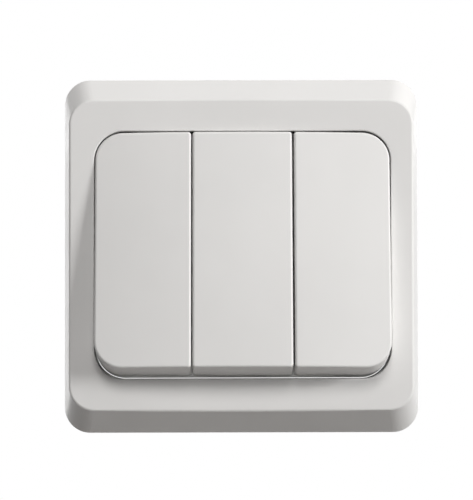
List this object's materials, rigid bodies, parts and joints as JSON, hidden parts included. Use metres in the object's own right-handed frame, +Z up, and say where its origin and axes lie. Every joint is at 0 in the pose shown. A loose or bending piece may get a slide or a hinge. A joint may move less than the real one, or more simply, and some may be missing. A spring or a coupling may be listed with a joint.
{
  "type": "three-gang light switch",
  "caption": "Square flush wall switch: tall crowned rocker keys side by side in a sloping moulded frame, each tipping its own contact in a mechanism made for a round wall box.",
  "frame": {"origin": "centre of the frame's back, on the wall plane and midway between the two wall-box slots", "axes": "+Z up, +X to the right as seen from the front, +Y into the wall, so the keys face -Y"},
  "size_m": [0.082, 0.0391, 0.082],
  "materials": {
    "frame_plastic": "satin white moulded plastic",
    "key_plastic": "satin white moulded plastic",
    "cradle_plastic": "plain moulded grey",
    "plunger_plastic": "plain moulded natural",
    "base_plastic": "plain moulded warm grey",
    "cover_plastic": "plain moulded warm grey",
    "plated_steel": "zinc plated sheet",
    "screw_steel": "zinc plated",
    "spring_steel": "drawn wire",
    "brass": "stamped brass"
  },
  "bodies": {
    "housing": {"frame": "frame_plastic", "mounting_strap": "plated_steel", "mechanism_base": "base_plastic", "mechanism_cover": "cover_plastic", "common_busbar": "brass", "fixed_contact_left": "brass", "fixed_contact_middle": "brass", "fixed_contact_right": "brass", "terminal_clamps": "brass", "terminal_screws": "screw_steel", "frame_screws": "screw_steel", "cover_screws": "screw_steel"},
    "left_rocker_key": {"key_left": "key_plastic", "cradle_left": "cradle_plastic", "plunger_left": "plunger_plastic", "spring_left": "spring_steel"},
    "left_moving_contact": {"contact_rocker_left": "brass"},
    "middle_rocker_key": {"key_middle": "key_plastic", "cradle_middle": "cradle_plastic", "plunger_middle": "plunger_plastic", "spring_middle": "spring_steel"},
    "middle_moving_contact": {"contact_rocker_middle": "brass"},
    "right_rocker_key": {"key_right": "key_plastic", "cradle_right": "cradle_plastic", "plunger_right": "plunger_plastic", "spring_right": "spring_steel"},
    "right_moving_contact": {"contact_rocker_right": "brass"}
  },
  "joints": [
    {"name": "key_left_rock", "type": "hinge", "parent": "housing", "child": "left_rocker_key", "pos_m": [-0.01827, -0.00288, 0], "axis": [1, 0, 0], "range_deg": [0, 14]},
    {"name": "contact_left_rock", "type": "hinge", "parent": "housing", "child": "left_moving_contact", "pos_m": [-0.01827, 0.01192, 0], "axis": [1, 0, 0], "range_deg": [-14, 0]},
    {"name": "key_middle_rock", "type": "hinge", "parent": "housing", "child": "middle_rocker_key", "pos_m": [0, -0.00288, 0], "axis": [1, 0, 0], "range_deg": [0, 14]},
    {"name": "contact_middle_rock", "type": "hinge", "parent": "housing", "child": "middle_moving_contact", "pos_m": [0, 0.01192, 0], "axis": [1, 0, 0], "range_deg": [-14, 0]},
    {"name": "key_right_rock", "type": "hinge", "parent": "housing", "child": "right_rocker_key", "pos_m": [0.01827, -0.00288, 0], "axis": [1, 0, 0], "range_deg": [0, 14]},
    {"name": "contact_right_rock", "type": "hinge", "parent": "housing", "child": "right_moving_contact", "pos_m": [0.01827, 0.01192, 0], "axis": [1, 0, 0], "range_deg": [-14, 0]}
  ],
  "couplings": [
    {"joint": "contact_left_rock", "follows": "key_left_rock", "ratio": -1},
    {"joint": "contact_middle_rock", "follows": "key_middle_rock", "ratio": -1},
    {"joint": "contact_right_rock", "follows": "key_right_rock", "ratio": -1}
  ]
}
